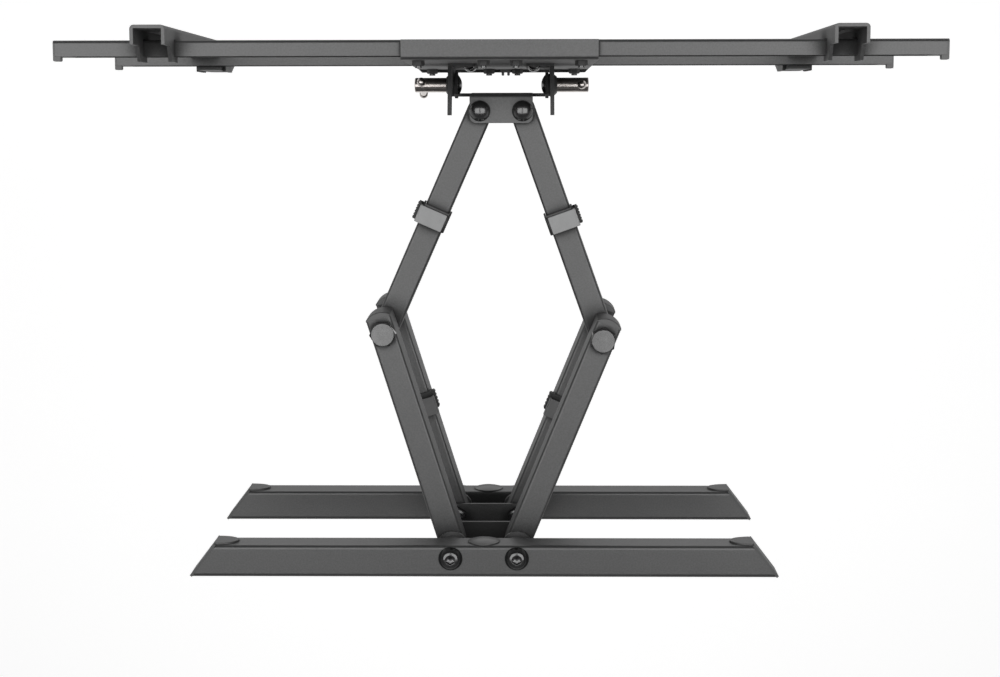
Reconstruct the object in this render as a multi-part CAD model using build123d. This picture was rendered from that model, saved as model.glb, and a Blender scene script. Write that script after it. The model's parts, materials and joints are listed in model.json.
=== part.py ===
from build123d import *
from math import atan2, cos, degrees, hypot, radians, sin, sqrt
import os

# Full-motion wall mount for a screen, drawn pulled out from the wall, in millimetres.
# Frame: the wall is the plane y = 0, the screen is towards -Y, +Z is up, +X is to the
# right of a person who faces the wall. The origin is on the wall, midway between the
# two wall rails and midway along them.

# Wall rails: two square-ended tubes on the wall, mitred at both ends
rail_length = 450.0            # at the wall
rail_front_length = 412.0      # at the front face, after the mitres
rail_depth = 25.0
rail_height = 26.0
rail_spacing = 174.0           # centre line to centre line
rail_wall = 2.0
rail_corner = 3.0
stud_spacing = 406.4           # two wall studs
lag_slot_length = 20.0
lag_slot_width = 8.6
access_hole_r = 10.0
plug_r = 12.0
plug_rim = 0.8
plug_dome = 2.0
plug_stem = 5.0
cap_plate = 2.0                # mitred plastic end cap
cap_tongue = 16.0
cap_tongue_height = 21.0
cap_tongue_plate = 1.5
cap_insert = 4.0

# Arms
tube_width = 20.0
tube_height = 30.0             # rear arm, each of its two tubes
tube_gap = 64.0                # between the two rear tubes
tube_wall = 1.8
tube_corner = 2.4
front_tube_height = 60.0
rear_link = 177.0              # wall pivot to elbow
front_link = 186.0             # elbow to head pivot
wall_pivot_half = 25.5
wall_pivot_depth = 15.0
head_pivot_half = 16.5
arm_spread_right = 17.313      # rear arms, out from straight ahead, as drawn; with
arm_spread_left = 22.125       # the links they set where the head hangs
elbow_overhang = 12.0
elbow_cap_rim = 1.2
elbow_cap_bulge = 3.8
elbow_cap_insert = 3.9
sleeve_r = 7.9
fit = 0.05                     # running clearance on a radius
free_fit = 0.45                # the one pivot that closes the loop of arms
hole_play = 0.3                # clearance hole, on a radius
snug = 0.1                     # seated plastic or pressed piece, each side

# Fasteners
nut_turn_down, nut_turn_in = 0.1, 0.17    # corners turned off, as shares of the corner radius
head_round = 0.72                      # of a button head's height
m5_r, m5_af, m5_nut = 2.5, 8.0, 4.0
m8_r = 4.0
m10_r, m10_af, m10_nut = 5.0, 16.0, 8.0
m12_r, m12_af, m12_head, m12_nut = 6.0, 18.0, 7.5, 10.0
thread_stub = 2.0              # thread beyond a nut
short_stub = 1.5
socket_head_r, socket_head_height = 9.25, 5.5
socket_af, socket_depth = 6.5, 3.2
dome_head_r, dome_head_height = 8.1, 4.6
crown_height = 3.3             # low dome head of a tilt bolt

# Centre bracket between the wall rails
web_half = 45.0
web_plate = 2.5
shelf_half = 38.0
shelf_depth = 26.0
shelf_plate = 3.0
shelf_top = 31.0
shelf_corner = 6.0
elbow_bolt_turn = 15.0
bush_flange = 3.0
bush_flange_r = 12.0
bush_r = 9.0
crush_r = 7.0

# Cable clips: a saddle over the tube and a hinged cover, with room for cables between
clip_length = 15.0
clip_wall = 1.5
clip_grip = 9.0                # the saddle's legs, down the tube's sides
clip_on_front = 92.0           # from the elbow
clip_on_rear = 97.0            # from the wall pivot
clip_shift = 3.5               # the saddle runs on past the cover, away from the wall
clip_hinge_z = 8.2             # above the tube
clip_pin_r = 0.9
clip_barrel_r = 1.9
clip_ear = 2.5
clip_turn_play = 0.2
clip_latch_out = 2.6
clip_latch_top = 1.0
clip_latch_bottom = -6.5
clip_ribs = 5
clip_rib = 0.5

# Head
head_plate = 3.0
head_web = 2.0
head_washer = 1.5
elbow_washer = (tube_gap - front_tube_height) / 2
washer_r = 9.7
head_flange_half = 24.5
head_flange_rear = 9.4
head_flange_corner = 5.0
head_web_gap = 10.6            # pivot line to the rear face of the web
head_bend = 2.5
head_ear_inner = 34.5
head_ear_plate = 2.5
head_ear_half = 17.0
head_ear_r = 10.4
tilt_offset = 19.3             # pivot line to the tilt axis
rest_tilt = 2.2                # the lower rail stands a little nearer the wall, as drawn

# Tilt joint, outwards from the head
tilt_washer = 1.0
tilt_ear_plate = 3.0
tilt_ear_r = 9.0
tilt_ear_blend = 0.4           # keeps the ear's straight edges inside its round end
tilt_ear_half = 36.0
tilt_foot = 2.0                # each ear's foot, turned inwards on the plate
tilt_foot_half = 38.0
tilt_foot_inner = 19.5
tilt_foot_corner = 4.0
foot_screw_x = 25.5
foot_screw_z = 26.0
foot_screw_head_r, foot_screw_head = 4.75, 2.75
tilt_washer_r = 8.8
cone_washer = 2.7
cone_washer_small_r = 6.4
toe_reach = 24.0               # a toe over the front arms stops the screen tipping back
toe_bottom = 40.0
toe_top = 50.0
toe_inner = 26.0
clamp_nut_r = 5.75
clamp_nut_length = 25.0
clamp_thread = 16.0
clamp_round = 0.8
bolt_short = 1.0               # the tilt bolt ends short of the nut's thread
tommy_r = 2.5
tommy_half = 18.0
tommy_ball_r = 3.5
tommy_drop = 8.6               # the bar hangs by its upper ball
tommy_from_end = 5.5
tommy_lean = 14.2

# Screen plate: measured outwards from the tilt axis, in its own upright frame
plate_gap = 15.7
plate_sheet = 3.0
plate_half = 72.0
plate_bend = 3.0
plate_lip = 2.5
plate_bolt_x = (12.0, 60.0)
tv_rail_spacing = 200.0
tv_rail_height = 25.4
tv_rail_depth = 11.7
tv_rail_sheet = 1.8
tv_rail_corner = 2.6
tv_rail_end = 325.0
tv_rail_inner = 4.0
flange_play = 0.2
countersink_r = 4.8
countersink_depth = 2.2
stop_length = 5.6              # lip at the very end, on the rail's upper edge
stop_proud = 3.5
stop_height = 6.0
stop_insert = 10.0
stop_round = 1.0

# Screen brackets that hook over the rails
vesa_half_spacing = 250.0
vesa_width = 25.0
vesa_sheet = 2.5
vesa_corner = 3.0
vesa_rear = 14.4               # rear edge of the flanges, from the tilt axis
vesa_front = 39.7              # screen face of the web, from the tilt axis
vesa_top = 147.5
vesa_length = 430.0
vesa_hole_r = 4.2
vesa_hole_inset = 15.0
vesa_slot_length = 26.0
vesa_slots = (50.0, 100.0)     # slot centres, in from the outer holes
vesa_play = 0.4
hook_overlap = 13.0
hook_slack = 14.5
vesa_depth = 14.0              # flanges, away from the hooks
vesa_hook_rise = 9.0           # above the rail
vesa_hook_slope = 5.0
vesa_taper_start = -145.0
vesa_taper_end = -175.0

# Sliding latch under the lower screen rail
latch_plate = 3.0
latch_side_play = 0.3
latch_top = -100.0
latch_bottom = -168.0
latch_travel = 13.5
latch_block_top = -119.0
latch_block_bottom = -141.0
latch_eye_r = 4.0
lock_y = 27.5
lock_z = -137.0
lock_r = 2.5
lock_reach = 6.5
lock_disc_r = 7.0
lock_disc = 2.5
lock_head = 2.0
lock_head_r = 4.6

# Worked out from the above
rail_z = rail_spacing / 2
rail_top = rail_z + rail_height / 2
rail_bottom = rail_z - rail_height / 2
tube_inner_z = tube_gap / 2
tube_outer_z = tube_inner_z + tube_height
half_width = tube_width / 2
front_half = front_tube_height / 2
head_inner_z = front_half + head_washer
head_outer_z = head_inner_z + head_plate
head_ear_outer = head_ear_inner + head_ear_plate
tilt_ear_inner = head_ear_outer + tilt_washer
tilt_ear_outer = tilt_ear_inner + tilt_ear_plate
clamp_start = tilt_ear_outer + cone_washer
clamp_end = clamp_start + clamp_nut_length
tommy_x = clamp_end - tommy_from_end
plate_back = plate_gap + plate_sheet
tv_rail_face = plate_back + tv_rail_depth
tv_rail_z = tv_rail_spacing / 2
tv_rail_half = tv_rail_height / 2
plate_top = tv_rail_z + tv_rail_half + flange_play + plate_sheet
vesa_bottom = vesa_top - vesa_length
vesa_inner = vesa_front - vesa_sheet
bolt_places = [(side * x, z) for side in (1, -1) for x in plate_bolt_x for z in (tv_rail_z, -tv_rail_z)]
foot_screw_places = [(side * foot_screw_x, z) for side in (1, -1) for z in (foot_screw_z, -foot_screw_z)]
window_half = dome_head_r + hole_play

UP = (Align.CENTER, Align.CENTER, Align.MIN)
parts = {}


def box(x0, x1, y0, y1, z0, z1):
    """A block between two corners."""
    size = (abs(x1 - x0), abs(y1 - y0), abs(z1 - z0))
    return Pos((x0 + x1) / 2, (y0 + y1) / 2, (z0 + z1) / 2) * Box(*size)


def rod(r, z0, z1, x=0.0, y=0.0):
    """An upright round bar from z0 up to z1."""
    return Pos(x, y, min(z0, z1)) * Cylinder(r, abs(z1 - z0), align=UP)


def rod_x(r, x0, x1, y=0.0, z=0.0):
    """A round bar along X."""
    return Pos(min(x0, x1), y, z) * Rot(0, 90, 0) * Cylinder(r, abs(x1 - x0), align=UP)


def rod_y(r, y0, y1, x=0.0, z=0.0):
    """A round bar along Y."""
    return Pos(x, max(y0, y1), z) * Rot(90, 0, 0) * Cylinder(r, abs(y1 - y0), align=UP)


def ring(outer_r, inner_r, z0, z1, x=0.0, y=0.0):
    return rod(outer_r, z0, z1, x, y) - rod(inner_r, z0, z1, x, y)


def hexagon(flat, height):
    """A hexagonal block standing on z = 0, its upper corners turned off."""
    corner_r = flat / sqrt(3)
    turned = Cylinder(corner_r, height, align=UP)
    turned = chamfer(turned.edges().group_by(Axis.Z)[-1], nut_turn_down * corner_r, nut_turn_in * corner_r)
    return extrude(RegularPolygon(corner_r, 6), height) & turned


def hex_nut(flat, height, bore_r):
    return hexagon(flat, height) - rod(bore_r, 0, height)


def dome_head(r, height):
    """A round head with a full crown, standing on z = 0."""
    sphere_r = (r * r + height * height) / (2 * height)
    return (Pos(0, 0, height - sphere_r) * Sphere(sphere_r)) & rod(r, 0, height)


def socket_head():
    """A button head with a hexagon socket, standing on z = 0."""
    head = Cylinder(socket_head_r, socket_head_height, align=UP)
    head = fillet(head.edges().group_by(Axis.Z)[-1], head_round * socket_head_height)
    recess = Pos(0, 0, socket_head_height - socket_depth) * RegularPolygon(socket_af / sqrt(3), 6)
    return head - extrude(recess, socket_depth)


def long_edges(solid, axis, length):
    """The edges along one axis that run most of its length."""
    return solid.edges().filter_by(axis).filter_by(lambda e: e.length > 0.8 * length)


def keep(name, *solids):
    parts[name] = solids


def elbow_point(side):
    """The elbow on the side given by +1 or -1."""
    spread = radians(arm_spread_right if side > 0 else arm_spread_left)
    return side * (wall_pivot_half + rear_link * sin(spread)), -wall_pivot_depth - rear_link * cos(spread)


def head_middle():
    """How far to the right and out from the wall the two front links hold the head's middle."""
    ax, ay = elbow_point(1)
    bx, by = elbow_point(-1)
    across, out = ax - bx - 2 * head_pivot_half, ay - by
    span = hypot(across, out)
    off = sqrt(front_link ** 2 - span ** 2 / 4)
    return (ax + bx) / 2 + off * out / span, off * across / span - (ay + by) / 2


def rear_place(side):
    """Takes a rear arm drawn from the wall pivot along +X to its place."""
    ex, ey = elbow_point(side)
    px, py = side * wall_pivot_half, -wall_pivot_depth
    return Pos(px, py, 0) * Rot(0, 0, degrees(atan2(ey - py, ex - px)))


def front_place(side):
    """Takes a front arm drawn from the elbow along +X to its place."""
    ex, ey = elbow_point(side)
    qx, qy = head_shift + side * head_pivot_half, -head_reach
    return Pos(ex, ey, 0) * Rot(0, 0, degrees(atan2(qy - ey, qx - ex)))


head_shift, head_reach = head_middle()
tilt_reach = head_reach + tilt_offset
head_at = Pos(head_shift, -head_reach, 0)
tilt_at = Pos(head_shift, -tilt_reach, 0) * Rot(rest_tilt, 0, 0)


# Wall side

def wall_rail(z):
    """A mitred square tube with slots for the wall screws and holes to reach them."""
    half = rail_length / 2
    body = box(-half, half, -rail_depth, 0, -rail_height / 2, rail_height / 2)
    body = fillet(long_edges(body, Axis.X, rail_length), rail_corner)
    inside = rail_height / 2 - rail_wall
    body -= box(-half, half, rail_wall - rail_depth, -rail_wall, -inside, inside)
    for side in (1, -1):
        wedge = Polyline((side * half, 0), (side * (half + rail_depth), 0),
                         (side * (half + rail_depth), -2 * rail_depth),
                         (side * rail_front_length / 2, -rail_depth), close=True)
        body -= extrude(Pos(0, 0, -rail_height) * make_face(wedge), 2 * rail_height)
        body -= rod_y(access_hole_r, -rail_depth, rail_wall - rail_depth, side * stud_spacing / 2)
        body -= box(side * stud_spacing / 2, side * (stud_spacing / 2 + access_hole_r),
                    -rail_depth, rail_wall - rail_depth, -access_hole_r, access_hole_r)
        slot = Plane((side * stud_spacing / 2, 0, 0), x_dir=(1, 0, 0), z_dir=(0, -1, 0))
        body -= extrude(slot * SlotOverall(lag_slot_length, lag_slot_width), 2 * rail_wall)
    body -= rod_y(lag_slot_width / 2, -rail_wall, 0)
    body -= rod_y(access_hole_r, -rail_depth, rail_wall - rail_depth)
    for x in (wall_pivot_half, -wall_pivot_half):
        body -= rod(m10_r + hole_play, -rail_height / 2, rail_height / 2, x, -wall_pivot_depth)
    return Pos(0, 0, z) * body


def rail_end_cap(side, z):
    """A plastic cap over the mitred end, with a tongue that covers the wall screw's hole."""
    half, front = rail_length / 2, rail_front_length / 2
    slant = hypot(half - front, rail_depth)
    nx, ny = rail_depth / slant, -(half - front) / slant
    def line(depth, out, along=0):
        """The point at a depth on the mitre, moved out along its normal and along the rail."""
        x = half - (half - front) * depth / rail_depth
        return side * (x + nx * out + along), -depth + ny * out
    plate = make_face(Polyline(line(0, 0), line(0, cap_plate), line(rail_depth, cap_plate),
                               line(rail_depth, 0), close=True))
    cap = extrude(Pos(0, 0, -rail_height / 2) * plate, rail_height)
    inner = rail_wall + snug
    insert = make_face(Polyline(line(inner, 0), line(rail_depth - inner, 0),
                                line(rail_depth - inner, 0, -cap_insert), line(inner, 0, -cap_insert), close=True))
    inside = rail_height / 2 - inner
    cap += extrude(Pos(0, 0, -inside) * insert, 2 * inside)
    tongue = Pos(side * front, 0, 0) * Ellipse(cap_tongue, cap_tongue_height / 2)
    tongue = extrude(Plane((0, -rail_depth, 0), x_dir=(1, 0, 0), z_dir=(0, -1, 0)) * tongue, cap_tongue_plate)
    outer_x, outer_y = line(rail_depth, cap_plate)
    tongue = tongue & box(side * (front - cap_tongue), outer_x, -rail_depth - cap_tongue_plate,
                          -rail_depth, -rail_height / 2, rail_height / 2)
    return Pos(0, 0, z) * (cap + tongue)


def access_plug(z):
    """A domed plastic plug in the middle access hole."""
    plug = rod(plug_r, 0, plug_rim) + Pos(0, 0, plug_rim) * dome_head(plug_r, plug_dome)
    plug += ring(access_hole_r - snug, access_hole_r - snug - clip_wall, -plug_stem, 0)
    return Plane((0, -rail_depth, z), x_dir=(1, 0, 0), z_dir=(0, -1, 0)).location * plug


def centre_bracket():
    """A web on the wall between the rails, with two shelves that hold the pivot bolts."""
    body = box(-web_half, web_half, -web_plate, 0, -rail_bottom, rail_bottom)
    for level in (shelf_top - shelf_plate, -shelf_top):
        shelf = box(-shelf_half, shelf_half, -shelf_depth, -web_plate, level, level + shelf_plate)
        shelf = fillet(shelf.edges().filter_by(Axis.Z).group_by(Axis.Y)[0], shelf_corner)
        for x in (wall_pivot_half, -wall_pivot_half):
            shelf -= rod(m10_r + fit, level, level + shelf_plate, x, -wall_pivot_depth)
        body += shelf
    return body


def wall_pivot_bolt(side, upper):
    """Upper bolts drop through the top rail; lower ones through the lower shelf."""
    at = Pos(side * wall_pivot_half, -wall_pivot_depth, 0)
    shelf_bottom = shelf_top - shelf_plate
    if upper:
        shank = rod(m10_r, shelf_bottom - m10_nut - thread_stub, rail_top)
        return at * (shank + Pos(0, 0, rail_top) * socket_head())
    shank = rod(m10_r, -rail_top - m10_nut - thread_stub, -shelf_bottom)
    return at * (shank + Pos(0, 0, -shelf_bottom) * hexagon(m10_af, m10_nut))


def wall_pivot_nut(side, upper):
    at = Pos(side * wall_pivot_half, -wall_pivot_depth, 0)
    level = shelf_top - shelf_plate if upper else -rail_top
    return at * Pos(0, 0, level) * Rot(180, 0, 0) * hex_nut(m10_af, m10_nut, m10_r + fit)


def wall_pivot_bushes(side, upper):
    """A flanged spacer between rail and tube, and a thin washer on the shelf."""
    x, y, up = side * wall_pivot_half, -wall_pivot_depth, 1 if upper else -1
    spacer = ring(bush_r, m10_r + fit, up * tube_outer_z, up * rail_bottom, x, y)
    spacer += ring(bush_flange_r, m10_r + fit, up * tube_outer_z, up * (tube_outer_z + bush_flange), x, y)
    washer = ring(washer_r, m10_r + fit, up * shelf_top, up * tube_inner_z, x, y)
    return spacer, washer


def crush_sleeve(side, upper):
    inside = rail_height / 2 - rail_wall - fit
    z = rail_z if upper else -rail_z
    return ring(crush_r, m10_r + fit, z - inside, z + inside, side * wall_pivot_half, -wall_pivot_depth)


# Arms

def tube(length, z0, z1, both_round):
    """A tube along +X with a closed round end at x = 0, and at the far end if both_round."""
    def outline(margin):
        bar = Pos(length / 2, 0) * Rectangle(length, tube_width - 2 * margin)
        shape = bar + Circle(half_width - margin)
        return shape + Pos(length, 0) * Circle(half_width - margin) if both_round else shape
    body = extrude(Pos(0, 0, z0) * outline(0), z1 - z0)
    rims = body.edges().group_by(Axis.Z)[0] + body.edges().group_by(Axis.Z)[-1]
    if not both_round:
        rims = rims.filter_by(lambda e: e.center().X < length - fit)
    body = fillet(rims, tube_corner)
    return body - extrude(Pos(0, 0, z0 + tube_wall) * outline(tube_wall), z1 - z0 - 2 * tube_wall)


def rear_tube(upper):
    """One of the rear arm's two tubes, drawn from the wall pivot along +X."""
    z0 = tube_inner_z if upper else -tube_outer_z
    z1 = z0 + tube_height
    body = tube(rear_link + elbow_overhang, z0, z1, False)
    body -= rod(sleeve_r + fit, z0, z1)
    return body - rod(m12_r + fit, z0, z1, rear_link)


def rear_sleeves():
    """Steel sleeves in the rear tubes: a bearing at the wall, a spacer at the elbow."""
    sleeves = []
    for z0 in (tube_inner_z, -tube_outer_z):
        sleeves.append(ring(sleeve_r, m10_r + fit, z0, z0 + tube_height))
        gap = tube_wall + fit
        sleeves.append(ring(sleeve_r, m12_r + fit, z0 + gap, z0 + tube_height - gap, rear_link))
    return sleeves


def elbow_cap(z0):
    """A plastic plug with a bulging outer face in the open end of a rear tube."""
    start = rear_link + elbow_overhang
    rim = start + elbow_cap_rim
    arc = ThreePointArc((rim, -half_width), (rim + elbow_cap_bulge, 0), (rim, half_width))
    outline = make_face(Polyline((rim, half_width), (start, half_width), (start, -half_width),
                                 (rim, -half_width)) + arc)
    cap = extrude(Pos(0, 0, z0) * outline, tube_height)
    cap = fillet(cap.edges().group_by(Axis.Z)[0].filter_by(GeomType.CIRCLE)
                 + cap.edges().group_by(Axis.Z)[-1].filter_by(GeomType.CIRCLE), elbow_cap_rim)
    side = half_width - tube_wall - snug
    inner = tube_wall + snug
    return cap + box(start - elbow_cap_insert, start, -side, side, z0 + inner, z0 + tube_height - inner)


def elbow_bolt():
    shank = rod(m12_r, -tube_outer_z - m12_nut - thread_stub, tube_outer_z, rear_link)
    return shank + Pos(rear_link, 0, tube_outer_z) * Rot(0, 0, elbow_bolt_turn) * hexagon(m12_af, m12_head)


def elbow_nut():
    return Pos(rear_link, 0, -tube_outer_z) * Rot(180, 0, 0) * hex_nut(m12_af, m12_nut, m12_r + fit)


def front_tube():
    """The single deep tube between the two rear ones, drawn from the elbow along +X."""
    body = tube(front_link, -front_half, front_half, True)
    for x in (0, front_link):
        body -= rod(sleeve_r + fit, -front_half, front_half, x)
    return body


def front_sleeves(head_bore_r):
    return (ring(sleeve_r, m12_r + fit, -front_half, front_half),
            ring(sleeve_r, head_bore_r, -front_half, front_half, front_link))


def front_washers():
    """Plastic washers above and below the tube at the elbow and at the head."""
    washers = []
    for up in (1, -1):
        washers.append(ring(washer_r, m12_r + fit, up * front_half, up * (front_half + elbow_washer)))
        washers.append(ring(washer_r, m10_r + free_fit, up * front_half, up * head_inner_z, front_link))
    return washers


def clip_hinge_y(latch_side):
    """The cover turns at the far side from the latch."""
    return -latch_side * (half_width + snug + clip_wall - clip_barrel_r)


def cable_clip(latch_side):
    """A saddle over the tube, with a ribbed latch on one side and the cover's pin on the other."""
    half, inner = clip_length / 2, half_width + snug
    out = inner + clip_wall
    body = box(-half, half + clip_shift, -out, out, -clip_grip, snug + clip_wall)
    body = fillet(body.edges().filter_by(Axis.Z), clip_wall / 2)
    body -= box(-half, half + clip_shift, -inner, inner, -clip_grip, snug)
    far, hinge_y = -latch_side, clip_hinge_y(latch_side)
    body += box(-half, half, far * inner, far * out, -clip_grip, clip_hinge_z)
    body -= box(-half + clip_ear, half - clip_ear, far * inner, far * out,
                clip_hinge_z - clip_barrel_r - clip_turn_play, clip_hinge_z)
    for x in (-half, half - clip_ear):
        body += rod_x(clip_barrel_r, x, x + clip_ear, hinge_y, clip_hinge_z)
    body += rod_x(clip_pin_r, -half, half, hinge_y, clip_hinge_z)
    grip = out + clip_latch_out
    body += box(clip_shift - half, clip_shift + half, latch_side * out, latch_side * grip,
                clip_latch_bottom, clip_latch_top)
    pitch = clip_length / (2 * clip_ribs)
    for i in range(clip_ribs):
        x = clip_shift - half + (2 * i + 0.5) * pitch
        body += box(x, x + pitch, latch_side * grip, latch_side * (grip + clip_rib),
                    clip_latch_bottom, clip_latch_top)
    return body


def clip_cover(latch_side):
    """A lid that turns on the saddle's pin and comes down on top of the latch."""
    half, hinge_y = clip_length / 2, clip_hinge_y(latch_side)
    wall_inner = half_width + 2 * snug + clip_wall
    wall_outer = wall_inner + clip_wall
    top = clip_hinge_z + clip_barrel_r
    body = box(-half, half, hinge_y, latch_side * wall_outer, clip_latch_top + snug, top)
    body = fillet(body.edges().filter_by(Axis.X).group_by(Axis.Z)[-1].sort_by(
        lambda e: latch_side * e.center().Y)[-1], clip_wall)
    body -= box(-half, half, hinge_y, latch_side * wall_inner, clip_latch_top, top - clip_wall)
    knuckle = half - clip_ear - snug
    for x in (-half, knuckle):
        reach = hinge_y + latch_side * (clip_barrel_r + clip_turn_play)
        body -= box(x, x + clip_ear + snug, hinge_y, reach, clip_latch_top, top)
    body += rod_x(clip_barrel_r, -knuckle, knuckle, hinge_y, clip_hinge_z)
    return body - rod_x(clip_pin_r + fit, -half, half, hinge_y, clip_hinge_z)


# Head, drawn from the middle of its two pivots

def head_bracket():
    front = -head_web_gap - head_web
    body = box(-head_flange_half, head_flange_half, front, head_flange_rear, -head_outer_z, head_outer_z)
    body = fillet(body.edges().filter_by(Axis.Z).group_by(Axis.Y)[-1], head_flange_corner)
    body = fillet(body.edges().filter_by(Axis.X).group_by(Axis.Y)[0], head_bend)
    body -= box(-head_flange_half, head_flange_half, -head_web_gap, head_flange_rear,
                -head_inner_z, head_inner_z)
    body += box(-head_ear_outer, head_ear_outer, front, -head_web_gap, -head_ear_half, head_ear_half)
    tip = tilt_offset + head_ear_r / 5
    profile = make_face(Polyline((-head_web_gap, -head_ear_half), (-head_web_gap, head_ear_half),
                                 (-tip, head_ear_r), (-tip, -head_ear_r), close=True))
    profile = profile + Pos(-tilt_offset, 0) * Circle(head_ear_r)
    for side in (1, -1):
        x0 = head_ear_inner if side > 0 else -head_ear_outer
        ear = extrude(Plane((x0, 0, 0), x_dir=(0, 1, 0), z_dir=(1, 0, 0)) * profile, head_ear_plate)
        body += ear - rod_x(m8_r + fit, x0, x0 + head_ear_plate, -tilt_offset)
        window = head_ear_inner - crown_height - hole_play
        body -= box(side * window, side * head_ear_inner, front, -head_web_gap, -window_half, window_half)
        for level in (head_inner_z, -head_outer_z):
            body -= rod(m10_r + fit, level, level + head_plate, side * head_pivot_half)
    return body


def head_pivot_bolt(side):
    shank = rod(m10_r, -head_outer_z - m10_nut - thread_stub, head_outer_z)
    return Pos(side * head_pivot_half, 0, 0) * (shank + Pos(0, 0, head_outer_z) * dome_head(dome_head_r, dome_head_height))


def head_pivot_nut(side):
    return Pos(side * head_pivot_half, 0, -head_outer_z) * Rot(180, 0, 0) * hex_nut(m10_af, m10_nut, m10_r + fit)


def tilt_bolt(side):
    """Low crown inside the head's ear, shank out through both ears into the clamp nut."""
    crown = Pos(side * head_ear_inner, 0, 0) * Rot(0, -side * 90, 0) * dome_head(dome_head_r, crown_height)
    return crown + rod_x(m8_r, side * head_ear_inner, side * (clamp_start + clamp_thread - bolt_short))


# Screen plate, drawn from the tilt axis in its own upright frame

def tilt_ear(side):
    """An ear that turns on the tilt bolt, its foot screwed to the centre plate."""
    base = tilt_foot - plate_gap
    tip, tip_half = tilt_ear_r / 3, tilt_ear_r - tilt_ear_blend
    profile = make_face(Polyline((-plate_gap, -tilt_foot_half), (base, -tilt_ear_half), (tip, -tip_half),
                                 (tip, tip_half), (base / 2, toe_inner), (toe_reach, toe_bottom),
                                 (toe_reach, toe_top), (base, tilt_foot_half), (-plate_gap, tilt_foot_half),
                                 close=True))
    profile = profile + Circle(tilt_ear_r)
    foot = box(tilt_foot_inner, tilt_ear_inner, -plate_gap, base, -tilt_foot_half, tilt_foot_half)
    foot = fillet(foot.edges().filter_by(Axis.Y).group_by(Axis.X)[0], tilt_foot_corner)
    ear = foot + extrude(Plane((tilt_ear_inner, 0, 0), x_dir=(0, 1, 0), z_dir=(1, 0, 0)) * profile,
                         tilt_ear_plate)
    ear -= rod_x(m8_r + fit, tilt_ear_inner, tilt_ear_outer)
    for z in (foot_screw_z, -foot_screw_z):
        ear -= rod_y(m5_r + hole_play, -plate_gap, base, foot_screw_x, z)
    return ear if side > 0 else mirror(ear, about=Plane.YZ)


def foot_screw(x, z):
    """A button head screw through an ear's foot, threaded into the centre plate."""
    base = tilt_foot - plate_gap
    head = Plane((x, base, z), x_dir=(1, 0, 0), z_dir=(0, 1, 0)).location * dome_head(
        foot_screw_head_r, foot_screw_head)
    return head + rod_y(m5_r, -plate_back - short_stub, base, x, z)


def tilt_washers(side):
    """A flat washer between the ears and a cone washer under the clamp nut."""
    flat = rod_x(tilt_washer_r, side * head_ear_outer, side * tilt_ear_inner)
    cone = Pos(side * tilt_ear_outer, 0, 0) * Rot(0, side * 90, 0) * Cone(
        tilt_washer_r, cone_washer_small_r, cone_washer, align=UP)
    hole = rod_x(m8_r + fit, side * head_ear_inner, side * clamp_start)
    return flat - hole, cone - hole


def clamp_nut(side):
    """A long round nut, cross-drilled near its outer end for the tommy bar."""
    body = rod_x(clamp_nut_r, clamp_start, clamp_end)
    body = fillet(body.edges().group_by(Axis.X)[-1], clamp_round)
    body -= rod_x(m8_r + fit, clamp_start, clamp_start + clamp_thread)
    body -= Pos(tommy_x, 0, 0) * tommy_turn(side) * rod(tommy_r + fit, -clamp_nut_r, clamp_nut_r)
    return body if side > 0 else mirror(body, about=Plane.YZ)


def tommy_turn(side):
    """Only the bar on the +X side leans at rest."""
    return Rot(tommy_lean if side > 0 else 0, 0, 0)


def tommy_bar(side):
    bar = rod(tommy_r, -tommy_half, tommy_half)
    for z in (tommy_half, -tommy_half):
        bar += Pos(0, 0, z) * Sphere(tommy_ball_r)
    return Pos(side * tommy_x, 0, 0) * tommy_turn(side) * Pos(0, 0, -tommy_drop) * bar


def centre_plate():
    """A folded plate: web on the wall side, a flange over and under the screen rails."""
    body = box(-plate_half, plate_half, -tv_rail_face, -plate_gap, -plate_top, plate_top)
    body = fillet(body.edges().filter_by(Axis.X).group_by(Axis.Y)[-1], plate_bend)
    inside = plate_top - plate_sheet
    body -= box(-plate_half, plate_half, -tv_rail_face, -plate_back, -inside, inside)
    lip = box(-plate_half, plate_half, -plate_back, plate_lip - plate_gap, -plate_top, plate_sheet - plate_top)
    body += chamfer(lip.edges().filter_by(Axis.Z).group_by(Axis.Y)[-1], plate_lip)
    for x, z in bolt_places:
        body -= rod_y(m5_r + hole_play, -plate_back, -plate_gap, x, z)
    for x, z in foot_screw_places:
        body -= rod_y(m5_r + fit, -plate_back, -plate_gap, x, z)
    return body


def screen_rail(side, z):
    """A channel open to the wall, bolted into the centre plate at its inner end."""
    start, end = sorted((side * tv_rail_inner, side * tv_rail_end))
    low, high = z - tv_rail_half, z + tv_rail_half
    body = box(start, end, -tv_rail_face, -plate_back, low, high)
    body = fillet(body.edges().filter_by(Axis.X).group_by(Axis.Y)[0], tv_rail_corner)
    inner = tv_rail_sheet - tv_rail_face
    body -= box(start, end, inner, -plate_back, low + tv_rail_sheet, high - tv_rail_sheet)
    for x in plate_bolt_x:
        body -= rod_y(m5_r + hole_play, -tv_rail_face, inner, side * x, z)
        body -= countersunk_head(side * x, z, snug)
    return body


def countersunk_head(x, z, more):
    cone = Cone(m5_r, countersink_r + more, countersink_depth, align=UP)
    return Plane((x, countersink_depth - tv_rail_face, z), x_dir=(1, 0, 0), z_dir=(0, -1, 0)).location * cone


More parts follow.
